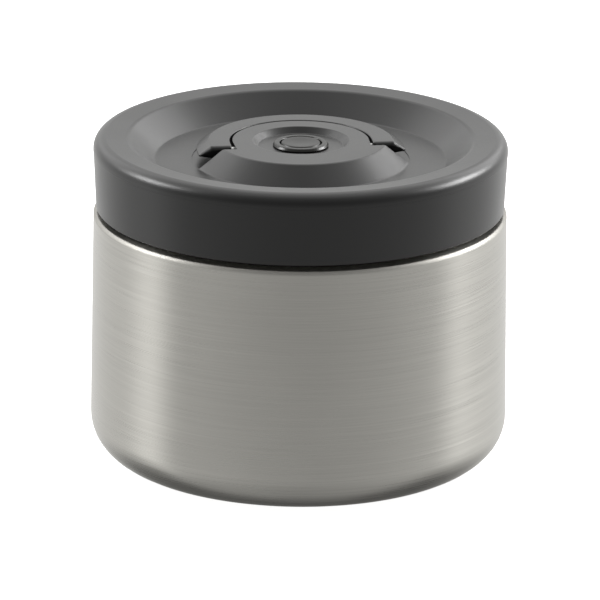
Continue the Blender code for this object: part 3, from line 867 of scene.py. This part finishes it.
class LUNCH_OT_base(bpy.types.Operator):
    """Recessed base plate with its weld, the sealed evacuation hole, the getter and the foil."""

    bl_idname = "lunch.base"
    bl_label = "Base"

    def execute(self, context):
        pot = settings("lunch_pot")
        colours = settings("lunch_finish")
        dimple_radius = 0.0050
        hole = 0.0014
        bend = 0.0006
        foot = PLATE_LOW.z
        dimple_top = PLATE_HIGH.z - pot.steel
        radius = PLATE_HIGH.x
        extra_ring = radius * 0.62    # splits the long flat faces
        path = rounded([
            (hole, dimple_top, 0),
            (dimple_radius, dimple_top, bend),
            (dimple_radius + dimple_top - foot, foot, bend),
            (extra_ring, foot, 0),
            (radius, foot, 0),
        ])
        plate = turned("steel_base_plate", sheet(path, pot.steel))
        steel = brushed_steel("turned_base_steel", colours.inner_steel, roughness=0.30, streak=1.2,
                              turned_down=True)
        dress(plate, steel, "pot", "base_plate", slot="base_steel")
        weld_radius = 0.00035
        weld_height = foot - FIT * 0.6    # in the gap between plate and ledge
        weld = turned("base_weld", [(base_ledge() + r, weld_height + z)
                                    for r, z in circle(weld_radius, 10)])
        steel = smooth_steel("weld_steel", scaled(colours.inner_steel, 0.75), roughness=0.4)
        dress(weld, steel, "pot", slot="base_steel")
        nib = hole - FIT
        bead = turned("glass_bead", rounded([
            (0.0, BEAD_LOW.z, 0),
            (BEAD_HIGH.x, BEAD_LOW.z, bend),
            (BEAD_HIGH.x, dimple_top - FIT, 0),
            (nib, dimple_top - FIT, 0),
            (nib, BEAD_HIGH.z, 0),
            (0.0, BEAD_HIGH.z, 0),
        ]), SMALL_STEPS)
        dress(bead, fused_glass("sealing_glass", colours.glass), "pot", "vacuum_bead",
              slot="bead_glass")
        finish_node("getter", aluminium("getter_metal", colours.getter, roughness=0.5,
                                        wrinkle=0.00006))
        finish_node("radiation_foil", aluminium("bright_foil", colours.foil, roughness=0.2,
                                                wrinkle=0.0001))
        return {"FINISHED"}


def finish_node(node, material):
    """Gives a CAD node that stays in view its own detailed material."""
    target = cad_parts[node]
    target.data.materials.clear()
    target.data.materials.append(material)


class LUNCH_OT_gasket(bpy.types.Operator):
    """Silicone ring between the pot's lip and the lid."""

    bl_idname = "lunch.gasket"
    bl_label = "Lid Gasket"

    def execute(self, context):
        width = 0.0036
        groove_width = 0.0018
        groove_depth = 0.0003
        edge = 0.0004
        outer = GASKET_HIGH.x
        inner = outer - width
        low, high = GASKET_LOW.z, GASKET_HIGH.z
        middle = (low + high) / 2
        groove_inner = inner + (width - groove_width) / 2
        groove_outer = groove_inner + groove_width
        outline = rounded([
            (inner, middle, 0),
            (inner, low, edge),
            (groove_inner, low, FINE),
            (groove_inner + groove_depth, low + groove_depth, FINE),
            (groove_outer - groove_depth, low + groove_depth, FINE),
            (groove_outer, low, FINE),
            (outer, low, edge),
            (outer, high, edge),
            (inner, high, edge),
            (inner, middle, 0),
        ])[:-1]
        ring = turned("silicone_gasket", outline)
        dress(ring, soft_silicone("milky_silicone", settings("lunch_finish").silicone), "seal",
              "lid_gasket", slot="gasket_silicone")
        return {"FINISHED"}


class LUNCH_OT_lid_shell(bpy.types.Operator):
    """Outer lid moulding with its crowned rim, dish, hub, core and the well under the handle."""

    bl_idname = "lunch.lid_shell"
    bl_label = "Lid Shell"

    def execute(self, context):
        lid = settings("lunch_lid")
        rim_crest = LID_HIGH.z
        foot = LID_LOW.z
        top_radius = LID_HIGH.x
        foot_radius = LINER_HIGH.x + FIT + lid.wall
        crest = top_radius - lid.rim_round
        rim_inner = crest - lid.rim_width
        rim_low = rim_crest - lid.rim_dip
        dish = rim_inner - lid.dish_run
        floor = dish_floor()
        underside = floor - lid.wall
        cup_low = cup_floor() - lid.wall
        tube_inner = bezel_outer() + FIT
        core_pocket = 0.0170    # hollow inside the core
        skirt_inside = foot_radius - lid.wall
        skirt_loop = foot + 0.001    # lets the outline close on a straight stretch
        seam = rim_crest - lid.rim_round - 0.0006
        seam_step = 0.00007
        slope = math.atan2(rim_low - floor, lid.dish_run)
        lean = lid.wall * math.tan(slope / 2)
        foot_edge = 0.0004
        seam_edge = 0.00003
        rim_room = 0.0001    # kept free so that the rim's round ends short of its crest
        dish_bend = 0.0013
        hub_foot = 0.0016
        hub_edge = 0.0014
        cup_edge = 0.0006
        inside_bend = 0.0008
        inside_corner = 0.0020
        outline = rounded([
            (skirt_inside, foot, FINE),
            (foot_radius, foot, foot_edge),
            (top_radius - seam_step, seam, seam_edge),
            (top_radius, seam + seam_step, seam_edge),
            (top_radius, rim_crest, lid.rim_round - rim_room),
            (crest, rim_crest, 0),
            (rim_inner, rim_low, lid.rim_inner_round),
            (dish, floor, dish_bend),
            (lid.hub_base, floor, hub_foot),
            (lid.hub_top, hub_top(), hub_edge),
            (lid.cup_radius, hub_top(), cup_edge),
            (lid.cup_radius - lid.cup_run, cup_floor(), cup_edge),
            (tube_inner, cup_floor(), CRISP),
            (tube_inner, FOAM_LOW.z, 0),
            (tube_outer(), FOAM_LOW.z, 0),
            (tube_outer(), cup_low, cup_edge),
            (core_pocket, cup_low, cup_edge),
            (core_pocket, underside, 0),
            (dish + lean, underside, 0),
            (rim_inner + lean, rim_low - lid.wall, inside_bend),
            (top_radius - lid.wall, rim_crest - lid.wall, inside_corner),
            (skirt_inside, skirt_loop, 0),
        ])
        shell = turned("grey_lid", outline)
        subtract(shell, self.handle_well(lid))
        bore_depth = 0.0039
        overcut = 0.002
        for side in (-1, 1):
            subtract(shell, pin_bore("core_bore", side, lid.core_radius - bore_depth,
                                     lid.core_radius + overcut))
        soften(shell, lid.cut_round)
        dress(shell, lid_plastic("satin_lid_grey"), "lid", "lid_shell", slot="lid_plastic")
        return {"FINISHED"}

    def handle_well(self, lid):
        """The room round the core, behind the front of the hub, where the handle lies and swings."""
        cut_y = lid.leg_length + lid.leg_gap
        well = lid.hub_base + lid.well_margin
        core = lid.core_radius
        overcut = 0.002
        low = dish_floor() - lid.well_depth
        high = hub_top() + overcut
        start = -math.asin(cut_y / well)
        sweep = math.pi - 2 * start
        steps = math.ceil(ROUND_STEPS * sweep / TURN)
        outline = []
        for k in range(steps + 1):
            angle = start + sweep * k / steps
            outline.append((well * math.cos(angle), well * math.sin(angle), low))
        outline.append((lid.core_lean - core, -cut_y, low))
        arc = ROUND_STEPS // 2
        for k in range(arc + 1):
            angle = math.pi * (1 - k / arc)
            outline.append((core * math.cos(angle), core * math.sin(angle), low))
        outline.append((core - lid.core_lean, -cut_y, low))
        bm = bmesh.new()
        face = bm.faces.new([bm.verts.new(p) for p in outline])
        raised = bmesh.ops.extrude_face_region(bm, geom=[face])["geom"]
        bmesh.ops.translate(bm, vec=(0, 0, high - low),
                            verts=[g for g in raised if isinstance(g, bmesh.types.BMVert)])
        return new_object("handle_well", bm)


class LUNCH_OT_lid_liner(bpy.types.Operator):
    """Inner lid moulding with its plug, its skirt and the thread inside it."""

    bl_idname = "lunch.lid_liner"
    bl_label = "Lid Liner"

    def execute(self, context):
        lid = settings("lunch_lid")
        thread = settings("lunch_thread")
        pot = settings("lunch_pot")
        guide_bore = 0.0020
        guide_outer = guide_bore + 0.0020
        guide_height = 0.0025
        plug_gap = 0.0012
        plug_outer = pot_outer() - pot.steel - plug_gap
        plug_inner = plug_outer - lid.liner_wall
        plate_top = FOAM_LOW.z - FIT
        flange_foot = GASKET_HIGH.z + FIT
        pad_inner = 0.0105
        pad_outer = 0.0475
        pad_slope = 0.0005
        pad_depth = 0.0003
        plug_corner = 0.0022
        rim_edge = 0.0008
        plug_edge = 0.0005
        outline = rounded([
            (guide_bore, plug_foot(), 0),
            (pad_inner, plug_foot(), FINE),
            (pad_inner + pad_slope, plug_foot() + pad_depth, FINE),
            (pad_outer - pad_slope, plug_foot() + pad_depth, FINE),
            (pad_outer, plug_foot(), FINE),
            (plug_outer, plug_foot(), plug_corner),
            (plug_outer, flange_foot, FINE),
            (skirt_inner(), flange_foot, FINE),
            (skirt_inner(), LINER_LOW.z, SOFT),
            (LINER_HIGH.x, LINER_LOW.z, SOFT),
            (LINER_HIGH.x, LINER_HIGH.z, rim_edge),
            (plug_inner, LINER_HIGH.z, plug_edge),
            (plug_inner, plate_top, rim_edge),
            (guide_outer, plate_top, SOFT),
            (guide_outer, plate_top + guide_height, SOFT),
            (guide_bore, plate_top + guide_height, 0),
        ])
        liner = turned("inner_lid", outline)
        plastic = satin_plastic("smooth_liner_grey", settings("lunch_finish").liner,
                                roughness=0.32, grain=0.000006)
        dress(liner, plastic, "lid", "lid_liner", slot="liner_plastic")
        ridge = thread_ridges("lid_thread", skirt_inner(), -1,
                              thread.first_height - thread.width - FIT)
        dress(ridge, plastic, "lid", slot="liner_plastic")
        return {"FINISHED"}


class LUNCH_OT_lid_foam(bpy.types.Operator):
    """Foam disc that fills the lid between its two mouldings."""

    bl_idname = "lunch.lid_foam"
    bl_label = "Lid Foam"

    def execute(self, context):
        hole = tube_outer() + FIT
        lower_edge = 0.0010
        outline = rounded([
            (hole, FOAM_LOW.z, SOFT),
            (FOAM_HIGH.x, FOAM_LOW.z, lower_edge),
            (FOAM_HIGH.x, FOAM_HIGH.z, SOFT),
            (hole, FOAM_HIGH.z, SOFT),
            (hole, (FOAM_LOW.z + FOAM_HIGH.z) / 2, 0),
        ])
        disc = turned("foam_disc", outline, SMALL_STEPS)
        dress(disc, cell_foam("white_cell_foam", settings("lunch_finish").foam), "lid", "lid_foam",
              slot="insulating_foam")
        return {"FINISHED"}


class LUNCH_OT_carry_handle(bpy.types.Operator):
    """Folding carrying handle: half a ring with two straight legs."""

    bl_idname = "lunch.carry_handle"
    bl_label = "Carrying Handle"

    def execute(self, context):
        lid = settings("lunch_lid")
        sizes = settings("lunch_handle")
        inner = lid.core_radius + sizes.gap
        edge = inner + sizes.top
        outer = edge + sizes.flank
        top, foot = HANDLE_HIGH.z, HANDLE_LOW.z
        middle = ((inner + outer) / 2, (top + foot) / 2)
        lip = top - sizes.fall
        foot_edge = 0.0008
        top_edge = 0.0010
        slit_edge = 0.00035
        section = rounded([
            (inner, middle[1], 0),
            (inner, foot, SOFT),
            (inner + sizes.flat, foot, foot_edge),
            (outer, lip - sizes.lip, FINE),
            (outer, lip, FINE),
            (edge, top, top_edge),
            (inner, top, slit_edge),
            (inner, middle[1], 0),
        ])[:-1]
        legs = []
        end_steps = 8
        for k in range(end_steps + 1):
            turn = math.pi / 2 * k / end_steps
            shift = -lid.leg_length + sizes.end_round * (1 - math.cos(turn))
            inset = sizes.end_round * (1 - math.sin(turn))
            legs.append((shift, (1 - 2 * inset / (outer - inner), 1 - 2 * inset / (top - foot))))
        arc = 128
        stations = [handle_place(0.0, shift, middle, size) for shift, size in legs]
        stations += [handle_place(math.pi * k / arc) for k in range(arc + 1)]
        stations += [handle_place(math.pi, shift, middle, size) for shift, size in legs[::-1]]
        handle = swept("grey_handle", section, stations)
        overcut = 0.001
        for side in (-1, 1):
            subtract(handle, pin_bore("handle_bore", side, inner - overcut, PIN_HIGH.x + FIT))
        soften(handle, SOFT)
        dress(handle, lid_plastic("satin_handle_grey"), "handle", "carry_handle",
              slot="handle_plastic")
        return {"FINISHED"}


def handle_place(angle, shift=0.0, middle=(0.0, 0.0), size=(1.0, 1.0)):
    """A function that puts one section point in place on the handle, sized about the middle."""
    def place(point):
        radius = middle[0] + (point[0] - middle[0]) * size[0]
        height = middle[1] + (point[1] - middle[1]) * size[1]
        return (radius * math.cos(angle), radius * math.sin(angle) + shift, height)
    return place


class LUNCH_OT_handle_pins(bpy.types.Operator):
    """Steel pins that the handle turns on."""

    bl_idname = "lunch.handle_pins"
    bl_label = "Handle Pins"

    def execute(self, context):
        y, z = pivot()
        steel = smooth_steel("drawn_pin_steel", settings("lunch_finish").pin, roughness=0.25)
        for side, node in ((-1, "handle_pin_left"), (1, "handle_pin_right")):
            pin = rod("steel_" + node, pin_radius(), (side * PIN_LOW.x, y, z),
                      (side * PIN_HIGH.x, y, z), FINE)
            dress(pin, steel, "lid", node, slot="pin_steel")
        return {"FINISHED"}


class LUNCH_OT_vent_bezel(bpy.types.Operator):
    """Ring that guides the vent's button."""

    bl_idname = "lunch.vent_bezel"
    bl_label = "Vent Bezel"

    def execute(self, context):
        flange = BEZEL_HIGH.x
        chamfer = 0.0006
        outer_edge = 0.0005
        inner_edge = 0.0004
        seat = cup_floor() + FIT
        top = BEZEL_HIGH.z
        outline = rounded([
            (bezel_inner(), seat, 0),
            (bezel_inner(), BEZEL_LOW.z, CRISP),
            (bezel_outer(), BEZEL_LOW.z, CRISP),
            (bezel_outer(), seat, CRISP),
            (flange, seat, CRISP),
            (flange - chamfer, top, outer_edge),
            (bezel_inner(), top, inner_edge),
            (bezel_inner(), seat, 0),
        ])[:-1]
        ring = turned("vent_ring", outline, VENT_STEPS)
        plastic = satin_plastic("satin_vent_grey", settings("lunch_finish").button,
                                roughness=0.24, grain=0.000004, level=0.48)
        dress(ring, plastic, "lid", "vent_bezel", slot="bezel_plastic")
        return {"FINISHED"}


class LUNCH_OT_vent_button(bpy.types.Operator):
    """Push button with a slightly hollow top."""

    bl_idname = "lunch.vent_button"
    bl_label = "Vent Button"

    def execute(self, context):
        radius = BUTTON_HIGH.x
        top, foot = BUTTON_HIGH.z, BUTTON_LOW.z
        socket = 0.0016
        socket_top = STEM_HIGH.z + FIT
        hollow = 0.0003
        top_edge = 0.0006
        dip = [(radius * share, top - hollow * (1 - share * share) ** 2, 0)
               for share in (0.8, 0.6, 0.4, 0.2)]
        outline = rounded([
            (socket, foot, 0),
            (radius, foot, SOFT),
            (radius, top, top_edge),
            *dip,
            (0.0, top - hollow, 0),
            (0.0, socket_top, 0),
            (socket, socket_top, 0),
        ])
        button = turned("push_button", outline, VENT_STEPS)
        plastic = satin_plastic("satin_button_grey", settings("lunch_finish").button,
                                roughness=0.30, grain=0.000010, level=0.46)
        dress(button, plastic, "valve", "vent_button", slot="button_plastic")
        return {"FINISHED"}


class LUNCH_OT_valve(bpy.types.Operator):
    """Stem and seal of the vent's valve."""

    bl_idname = "lunch.valve"
    bl_label = "Valve Stem and Seal"

    def execute(self, context):
        finish = settings("lunch_finish")
        stem_radius = 0.0013
        head = STEM_HIGH.x
        head_edge = 0.0004
        head_top = SEAL_LOW.z - FIT
        stem = turned("stem", rounded([
            (0.0, STEM_LOW.z, 0),
            (head, STEM_LOW.z, head_edge),
            (head, head_top, FINE),
            (stem_radius, head_top, CRISP),
            (stem_radius, STEM_HIGH.z, SOFT),
            (0.0, STEM_HIGH.z, 0),
        ]), SMALL_STEPS)
        plastic = satin_plastic("stem_grey", finish.liner, roughness=0.30, grain=0.000006)
        dress(stem, plastic, "valve", "valve_stem", slot="liner_plastic")
        hole = stem_radius + FIT
        foot_radius = SEAL_HIGH.x * 0.6
        foot_bend = 0.0008
        rim_thickness = (SEAL_HIGH.z - SEAL_LOW.z) * 0.4
        disc = turned("seal_disc", rounded([
            (hole, SEAL_LOW.z, 0),
            (foot_radius, SEAL_LOW.z, foot_bend),
            (SEAL_HIGH.x, SEAL_HIGH.z - rim_thickness, SOFT),
            (SEAL_HIGH.x, SEAL_HIGH.z, CRISP),
            (hole, SEAL_HIGH.z, 0),
        ]), SMALL_STEPS)
        dress(disc, soft_silicone("seal_silicone", finish.silicone), "valve", "valve_seal",
              slot="gasket_silicone")
        return {"FINISHED"}


class LUNCH_OT_valve_spring(bpy.types.Operator):
    """Return spring under the button, built at one length, though the real one shortens as the button
    goes down.
    """

    bl_idname = "lunch.valve_spring"
    bl_label = "Valve Spring"

    def execute(self, context):
        wire = 0.00035
        coil = SPRING_HIGH.y - wire
        turns = 6
        per_turn = 28
        foot = SPRING_LOW.z + wire
        rise = SPRING_HIGH.z - wire - foot
        stations = []
        for k in range(turns * per_turn + 1):
            share = k / (turns * per_turn)
            stations.append(coil_place(coil, TURN * k / per_turn, foot + rise * share))
        spring = swept("vent_spring", circle(wire, 10), stations)
        steel = smooth_steel("spring_wire_steel", settings("lunch_finish").spring, roughness=0.22)
        dress(spring, steel, "lid", "valve_spring", slot="pin_steel")
        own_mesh(spring)
        return {"FINISHED"}


def coil_place(coil, angle, z):
    """A function that puts one section point at its place on the spring."""
    def place(point):
        radius = coil + point[0]
        return (radius * math.cos(angle), radius * math.sin(angle), z + point[1])
    return place


class LUNCH_OT_stage(bpy.types.Operator):
    """Camera, pale sweep, soft panels and surroundings."""

    bl_idname = "lunch.stage"
    bl_label = "Stage"

    def execute(self, context):
        stage = settings("lunch_stage")
        scene = context.scene
        scene.view_settings.view_transform = "Standard"
        scene.view_settings.look = "None"
        self.camera(stage, scene)
        self.sweep()
        self.world(stage, scene)
        self.panel("left_panel", stage, azimuth=-97, elevation=32, distance=1.3,
                   size=(0.46, 0.42), power=stage.left_light)
        self.panel("right_panel", stage, azimuth=106, elevation=28, distance=1.3,
                   size=(0.60, 0.42), power=stage.right_light)
        self.panel("left_back_panel", stage, azimuth=-136, elevation=33, distance=1.3,
                   size=(0.90, 0.70), power=stage.back_light)
        self.panel("right_back_panel", stage, azimuth=138, elevation=32, distance=1.3,
                   size=(0.90, 0.70), power=stage.back_light * 2)
        self.panel("top_panel", stage, azimuth=180, elevation=78, distance=1.4,
                   size=(1.2, 1.2), power=stage.top_light)
        return {"FINISHED"}

    def direction(self, stage, azimuth, elevation):
        """Unit vector at an azimuth from the camera's side and an elevation, both in degrees."""
        turn = stage.azimuth + math.radians(azimuth)
        rise = math.radians(elevation)
        return Vector((math.sin(turn) * math.cos(rise), -math.cos(turn) * math.cos(rise),
                       math.sin(rise)))

    def camera(self, stage, scene):
        aim = Vector((0, 0, stage.aim_height))
        away = self.direction(stage, 0, math.degrees(stage.elevation))
        data = bpy.data.cameras.new("camera")
        data.sensor_width = 36.0
        data.lens = stage.lens
        data.shift_x = stage.shift_x
        data.shift_y = stage.shift_y
        camera = bpy.data.objects.new("camera", data)
        scene.collection.objects.link(camera)
        level = (-away).to_track_quat("-Z", "Y").to_matrix().to_4x4()
        camera.matrix_world = (Matrix.Translation(aim + away * stage.distance) @ level
                               @ Matrix.Rotation(stage.roll, 4, "Z"))
        scene.camera = camera

    def sweep(self):
        """White floor that curves up into a backdrop all round, seen by the camera alone."""
        below = -0.00005
        floor_radius = 4.0
        floor_bend = 1.2
        wall_radius = 4.4
        wall_height = 3.0
        glow = 0.86
        path = rounded([(0.0, below, 0), (floor_radius, below, floor_bend),
                        (wall_radius, wall_height, 0)])
        bm = bmesh.new()
        verts = [bm.verts.new((p.x, 0.0, p.y)) for p in path]
        edges = [bm.edges.new(pair) for pair in zip(verts, verts[1:])]
        bmesh.ops.spin(bm, geom=verts + edges, cent=(0, 0, 0), axis=(0, 0, 1), angle=TURN, steps=96,
                       use_merge=True, use_duplicate=False)
        sweep = new_object("studio_sweep", bm)
        n = Nodes("white_sweep")
        n.set(Base_Color=(0.8, 0.8, 0.8, 1.0), Roughness=0.9, Specular_IOR_Level=0.0,
              Emission_Color=(1.0, 1.0, 1.0, 1.0), Emission_Strength=glow)
        sweep.data.materials.append(n.material)
        sweep.visible_glossy = False
        sweep.visible_diffuse = False
        sweep.visible_shadow = False

    def world(self, stage, scene):
        """Surroundings that are dim on the camera's side and bright behind the object."""
        all_front = 0.25    # share of a direction towards the camera where FRONT holds alone
        all_behind = -0.15
        world = bpy.data.worlds.new("studio")
        scene.world = world
        world.use_nodes = True
        tree = world.node_tree
        background = tree.nodes["Background"]
        places = tree.nodes.new("ShaderNodeTexCoord").outputs["Generated"]
        split = tree.nodes.new("ShaderNodeSeparateXYZ")
        tree.links.new(places, split.inputs["Vector"])
        height = split.outputs["Z"]
        towards = self.along(tree, places, self.direction(stage, 0, 0))
        rightwards = self.along(tree, places, self.direction(stage, 90, 0))
        angle = self.combine(tree, "ARCTAN2", rightwards, towards)
        turned_to = self.step(tree, angle, -math.pi, math.pi, "LINEAR")
        around = self.ramp(tree, turned_to, [((a + 180) / 360, level) for a, level in AROUND])
        raised_to = self.step(tree, height, -1.0, 1.0, "LINEAR")
        behind = self.ramp(tree, raised_to, [((z + 1) / 2, level) for z, level in BEHIND])
        front = self.ramp(tree, raised_to, [((z + 1) / 2, level) for z, level in FRONT])
        share = self.step(tree, towards, all_front, all_behind)
        upright = tree.nodes.new("ShaderNodeMix")
        tree.links.new(share, upright.inputs["Factor"])
        tree.links.new(front, upright.inputs["A"])
        tree.links.new(behind, upright.inputs["B"])
        total = self.combine(tree, "MULTIPLY", around, upright.outputs["Result"])
        total = self.combine(tree, "MULTIPLY", total, stage.level)
        tree.links.new(total, background.inputs["Strength"])
        background.inputs["Color"].default_value = (1.0, 1.0, 0.99, 1.0)

    def along(self, tree, places, direction):
        """How far a place lies along a direction."""
        node = tree.nodes.new("ShaderNodeVectorMath")
        node.operation = "DOT_PRODUCT"
        node.inputs[1].default_value = direction
        tree.links.new(places, node.inputs[0])
        return node.outputs["Value"]

    def ramp(self, tree, value, levels):
        """Level at a value from 0 to 1; a ramp's colours end at 1, so it holds half of each."""
        node = tree.nodes.new("ShaderNodeValToRGB")
        stops = node.color_ramp.elements
        node.color_ramp.interpolation = "CARDINAL"
        for k, (place, level) in enumerate(levels):
            if k == 0:
                stop = stops[0]
            elif k == len(levels) - 1:
                stop = stops[-1]
            else:
                stop = stops.new(place)
            stop.color = (level / 2, level / 2, level / 2, 1.0)
        tree.links.new(value, node.inputs["Fac"])
        return self.combine(tree, "MULTIPLY", node.outputs["Color"], 2.0)

    def combine(self, tree, operation, first, second):
        node = tree.nodes.new("ShaderNodeMath")
        node.operation = operation
        tree.links.new(first, node.inputs[0])
        if isinstance(second, float):
            node.inputs[1].default_value = second
        else:
            tree.links.new(second, node.inputs[1])
        return node.outputs["Value"]

    def step(self, tree, value, low, high, shape="SMOOTHSTEP"):
        """Rise from 0 to 1 while a value goes from one place to another."""
        node = tree.nodes.new("ShaderNodeMapRange")
        node.interpolation_type = shape
        node.inputs["From Min"].default_value = low
        node.inputs["From Max"].default_value = high
        tree.links.new(value, node.inputs["Value"])
        return node.outputs["Result"]

    def panel(self, name, stage, azimuth, elevation, distance, size, power):
        """A rectangular soft light that faces the object."""
        away = self.direction(stage, azimuth, elevation)
        data = bpy.data.lights.new(name, "AREA")
        data.shape = "RECTANGLE"
        data.size, data.size_y = size
        data.energy = power
        light = bpy.data.objects.new(name, data)
        bpy.context.scene.collection.objects.link(light)
        light.matrix_world = (Matrix.Translation(Vector((0, 0, stage.aim_height)) + away * distance)
                              @ (-away).to_track_quat("-Z", "Y").to_matrix().to_4x4())
        light.visible_camera = False


class LUNCH_PT_panel(bpy.types.Panel):
    """Lists the object's sizes, colours and building steps."""

    bl_idname = "LUNCH_PT_panel"
    bl_label = "Insulated Lunch Box"
    bl_space_type = "VIEW_3D"
    bl_region_type = "UI"
    bl_category = "Lunch Box"

    def draw(self, context):
        layout = self.layout
        for name, group in SETTINGS.items():
            box = layout.box()
            box.label(text=group.__doc__)
            for field in group.__annotations__:
                box.prop(getattr(context.scene, name), field)
        for operator in STEPS:
            layout.operator(operator.bl_idname)


STEPS = (
    LUNCH_OT_outer_shell,
    LUNCH_OT_neck_thread,
    LUNCH_OT_inner_pot,
    LUNCH_OT_base,
    LUNCH_OT_gasket,
    LUNCH_OT_lid_shell,
    LUNCH_OT_lid_liner,
    LUNCH_OT_lid_foam,
    LUNCH_OT_carry_handle,
    LUNCH_OT_handle_pins,
    LUNCH_OT_vent_bezel,
    LUNCH_OT_vent_button,
    LUNCH_OT_valve,
    LUNCH_OT_valve_spring,
    LUNCH_OT_stage,
)


def register():
    for name, group in SETTINGS.items():
        bpy.utils.register_class(group)
        setattr(bpy.types.Scene, name, bpy.props.PointerProperty(type=group))
    for operator in STEPS:
        bpy.utils.register_class(operator)
    bpy.utils.register_class(LUNCH_PT_panel)


def unregister():
    bpy.utils.unregister_class(LUNCH_PT_panel)
    for operator in reversed(STEPS):
        bpy.utils.unregister_class(operator)
    for name, group in SETTINGS.items():
        delattr(bpy.types.Scene, name)
        bpy.utils.unregister_class(group)


def main():
    register()
    bpy.ops.lunch.outer_shell()
    bpy.ops.lunch.neck_thread()
    bpy.ops.lunch.inner_pot()
    bpy.ops.lunch.base()
    bpy.ops.lunch.gasket()
    bpy.ops.lunch.lid_shell()
    bpy.ops.lunch.lid_liner()
    bpy.ops.lunch.lid_foam()
    bpy.ops.lunch.carry_handle()
    bpy.ops.lunch.handle_pins()
    bpy.ops.lunch.vent_bezel()
    bpy.ops.lunch.vent_button()
    bpy.ops.lunch.valve()
    bpy.ops.lunch.valve_spring()
    bpy.ops.lunch.stage()


if __name__ == "__main__":
    main()
